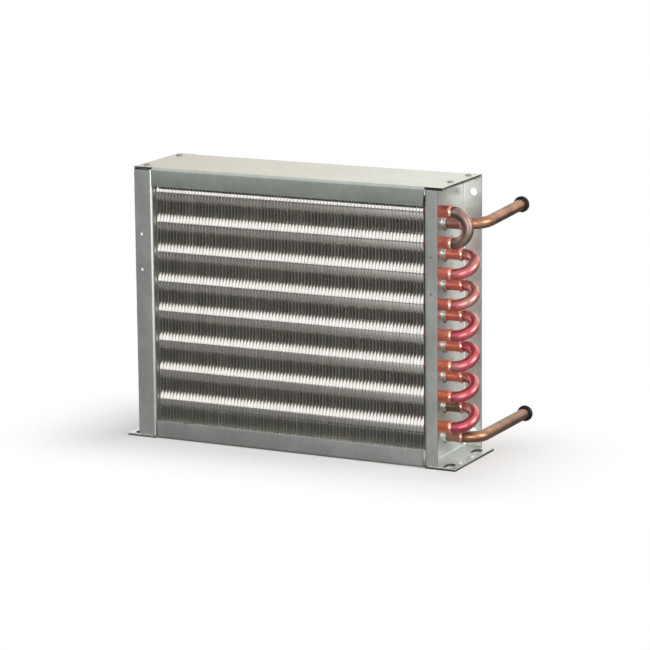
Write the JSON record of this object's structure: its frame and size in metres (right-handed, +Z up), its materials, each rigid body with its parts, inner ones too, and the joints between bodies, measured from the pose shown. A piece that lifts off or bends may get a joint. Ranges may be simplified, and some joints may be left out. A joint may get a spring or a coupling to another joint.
{
  "type": "finned condenser coil",
  "caption": "Finned condenser coil: two staggered rows of copper tube through upright aluminium fins in a folded steel casing with slotted feet, an inlet and an outlet pipe.",
  "frame": {"origin": "middle of the underside of the bottom plate, between the two end plates and halfway from the front to the back of the casing", "axes": "+X to the right along the tubes, towards the return bends and pipes; +Y to the back, the way the inlet and outlet pipes point; +Z up"},
  "size_m": [0.3174, 0.1395, 0.2334],
  "materials": {
    "galvanised_steel": "dull zinc-coated sheet, lightly soiled",
    "fin_aluminium": "bare thin foil, dull",
    "oxidised_copper": "copper reddened by brazing heat, satin",
    "brown_copper": "browned copper, satin",
    "black_rubber": "matt",
    "rivet_zinc": "bright zinc"
  },
  "bodies": {
    "root": {"top_plate": "galvanised_steel", "bottom_plate": "galvanised_steel", "left_end_plate": "galvanised_steel", "right_end_plate": "galvanised_steel", "fin_pack": "fin_aluminium", "hairpin_1": "oxidised_copper", "hairpin_2": "oxidised_copper", "hairpin_3": "oxidised_copper", "hairpin_4": "oxidised_copper", "hairpin_5": "oxidised_copper", "hairpin_6": "oxidised_copper", "hairpin_7": "oxidised_copper", "hairpin_8": "oxidised_copper", "return_bend_1": "brown_copper", "return_bend_2": "oxidised_copper", "return_bend_3": "oxidised_copper", "return_bend_4": "oxidised_copper", "return_bend_5": "oxidised_copper", "return_bend_6": "oxidised_copper", "return_bend_7": "oxidised_copper", "inlet_pipe": "brown_copper", "outlet_pipe": "brown_copper", "inlet_plug": "black_rubber", "outlet_plug": "black_rubber", "top_rivet_right_front": "rivet_zinc", "foot_rivet_right_front": "rivet_zinc", "top_rivet_right_back": "rivet_zinc", "foot_rivet_right_back": "rivet_zinc", "top_rivet_left_front": "rivet_zinc", "foot_rivet_left_front": "rivet_zinc", "top_rivet_left_back": "rivet_zinc", "foot_rivet_left_back": "rivet_zinc"}
  },
  "joints": []
}
